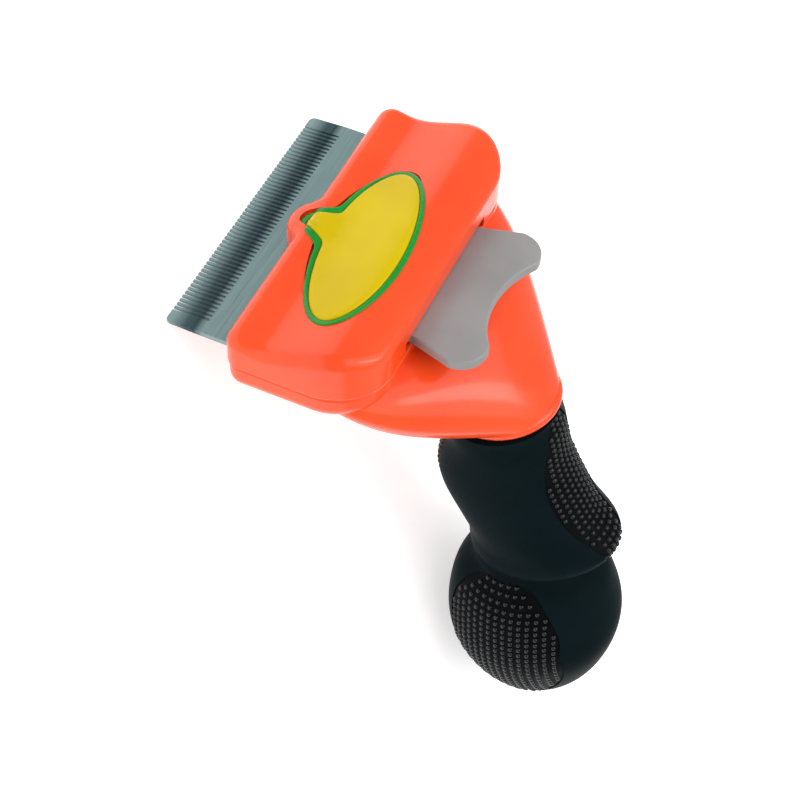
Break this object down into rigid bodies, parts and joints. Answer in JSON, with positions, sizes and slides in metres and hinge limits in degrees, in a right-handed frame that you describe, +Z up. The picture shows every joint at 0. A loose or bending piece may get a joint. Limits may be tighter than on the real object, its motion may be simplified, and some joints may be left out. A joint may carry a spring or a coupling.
{
  "type": "deshedding tool",
  "caption": "Pet deshedding tool: steel comb in a two-shell head, thumb-button hair ejector that springs back, rubber grip with nubbed pads on a bulbous handle.",
  "frame": {"origin": "on the table, under the middle of the tool's footprint, with the tool lying on the tips of its teeth and the front of its bulb", "axes": "+Z up from the table, +Y along the tool from the butt of the handle to the badge face, X across the comb, with the tool symmetric about X = 0"},
  "size_m": [0.0766, 0.1456, 0.0555],
  "materials": {
    "comb_steel": "brushed across the comb",
    "orange_plastic": "gloss moulded",
    "green_plastic": "gloss",
    "yellow_plastic": "gloss domed",
    "grey_plastic": "satin moulded",
    "spring_steel": "drawn wire",
    "fastener_steel": "zinc plated",
    "core_plastic": "moulded",
    "grip_rubber": "satin",
    "pad_rubber": "nubbed, slightly glossy"
  },
  "bodies": {
    "tool": {"blade": "comb_steel", "top_cover": "orange_plastic", "lower_housing": "orange_plastic", "badge_rim": "green_plastic", "badge_dome": "yellow_plastic", "return_spring_left": "spring_steel", "return_spring_right": "spring_steel", "housing_screws": "fastener_steel", "handle_core": "core_plastic", "cross_pin": "fastener_steel", "grip": "grip_rubber", "thumb_pad": "pad_rubber", "finger_pad": "pad_rubber", "side_pad_left": "pad_rubber", "side_pad_right": "pad_rubber"},
    "ejector": {"ejector_slide": "grey_plastic", "ejector_button": "grey_plastic", "button_screws": "fastener_steel"}
  },
  "joints": [
    {"name": "ejector_push", "type": "slide", "parent": "tool", "child": "ejector", "axis": [0, 0.4845, -0.8748], "range_m": [0, 0.011], "stiffness_N_per_m": 200, "springref_m": -0.006, "deforming": ["return_spring_left", "return_spring_right"]}
  ]
}
